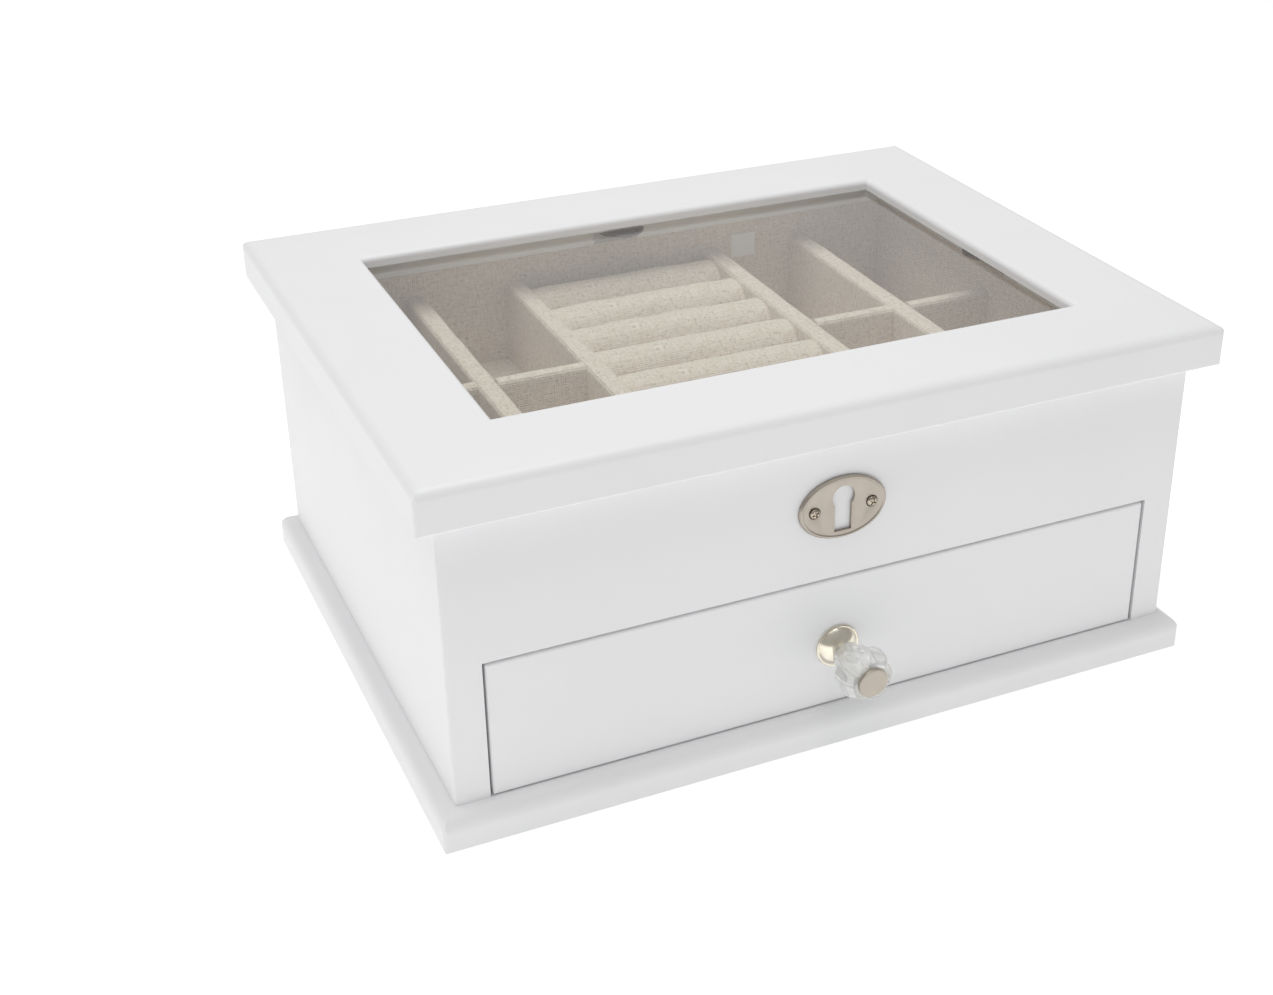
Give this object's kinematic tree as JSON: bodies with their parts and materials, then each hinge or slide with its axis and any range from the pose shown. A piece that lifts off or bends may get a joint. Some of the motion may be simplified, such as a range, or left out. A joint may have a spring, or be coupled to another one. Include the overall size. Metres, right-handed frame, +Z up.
{
  "type": "jewellery chest with drawer",
  "caption": "Painted jewellery chest with a hinged glazed lid over a linen-lined tray with ring rolls and cells, and a drawer below with a clear knob.",
  "frame": {"origin": "centre of the base board's underside, on the surface that the chest stands on", "axes": "+X to the right seen from the front, +Y to the back, +Z up; the drawer opens towards -Y"},
  "size_m": [0.3, 0.2529, 0.1367],
  "materials": {
    "white_paint": "satin white lacquer over fibreboard",
    "drawer_wood": "clear-sealed light plywood",
    "fibreboard": "bare fibreboard",
    "linen": "woven linen-look cloth over foam and card",
    "tag_cloth": "plain white woven tape",
    "satin_nickel": "satin nickel",
    "polished_nickel": "polished nickel",
    "bright_steel": "bright zinc-plated steel",
    "clear_acrylic": "clear moulded acrylic",
    "clear_glass": "clear float glass",
    "antique_bronze": "dark antique bronze plate"
  },
  "bodies": {
    "chest": {"base_board": "white_paint", "side_left": "white_paint", "side_right": "white_paint", "front_apron": "white_paint", "back_panel": "white_paint", "base_screws": "bright_steel", "tray_floor": "fibreboard", "lining_floor": "linen", "lining_front": "linen", "lining_back": "linen", "lining_left": "linen", "lining_right": "linen", "divider_outer_left": "linen", "divider_inner_left": "linen", "divider_inner_right": "linen", "divider_outer_right": "linen", "cross_outer_left": "linen", "cross_inner_left": "linen", "cross_inner_right": "linen", "cross_outer_right": "linen", "ring_roll_1": "linen", "ring_roll_2": "linen", "ring_roll_3": "linen", "ring_roll_4": "linen", "ring_roll_5": "linen", "ring_roll_6": "linen", "ring_roll_7": "linen", "ring_roll_8": "linen", "blank_tag": "tag_cloth", "keyhole_plate": "satin_nickel", "keyhole_screws": "polished_nickel", "hinge_body_leaf_left": "antique_bronze", "hinge_body_leaf_right": "antique_bronze", "hinge_pins": "bright_steel", "hinge_body_screws": "antique_bronze"},
    "lid": {"lid_rail_front": "white_paint", "lid_rail_rear": "white_paint", "lid_stile_left": "white_paint", "lid_stile_right": "white_paint", "glass_pane": "clear_glass", "clip_screws": "antique_bronze", "hinge_lid_leaf_left": "antique_bronze", "hinge_lid_leaf_right": "antique_bronze", "hinge_lid_screws": "antique_bronze"},
    "drawer": {"drawer_front": "white_paint", "drawer_side_left": "drawer_wood", "drawer_side_right": "drawer_wood", "drawer_back": "drawer_wood", "drawer_bottom": "fibreboard", "drawer_lining": "linen", "drawer_divider_long": "linen", "drawer_divider_cross": "linen", "knob_rose": "polished_nickel", "knob_crystal": "clear_acrylic", "knob_bolt": "satin_nickel", "knob_nut": "bright_steel"},
    "clip_front": {"glass_clip_front": "antique_bronze"},
    "clip_rear": {"glass_clip_rear": "antique_bronze"},
    "clip_left": {"glass_clip_left": "antique_bronze"},
    "clip_right": {"glass_clip_right": "antique_bronze"}
  },
  "joints": [
    {"name": "lid_hinge", "type": "hinge", "parent": "chest", "child": "lid", "pos_m": [0, 0.11155, 0.12105], "axis": [-1, 0, 0], "range_deg": [0, 98]},
    {"name": "drawer_slide", "type": "slide", "parent": "chest", "child": "drawer", "axis": [0, -1, 0], "range_m": [0, 0.15]},
    {"name": "clip_front_turn", "type": "hinge", "parent": "lid", "child": "clip_front", "pos_m": [0, -0.0875, 0.1285], "axis": [0, 0, 1], "range_deg": [0, 180]},
    {"name": "clip_rear_turn", "type": "hinge", "parent": "lid", "child": "clip_rear", "pos_m": [0, 0.0875, 0.1285], "axis": [0, 0, 1], "range_deg": [0, 180]},
    {"name": "clip_left_turn", "type": "hinge", "parent": "lid", "child": "clip_left", "pos_m": [-0.12455, 0, 0.1285], "axis": [0, 0, 1], "range_deg": [0, 180]},
    {"name": "clip_right_turn", "type": "hinge", "parent": "lid", "child": "clip_right", "pos_m": [0.12455, 0, 0.1285], "axis": [0, 0, 1], "range_deg": [0, 180]}
  ]
}
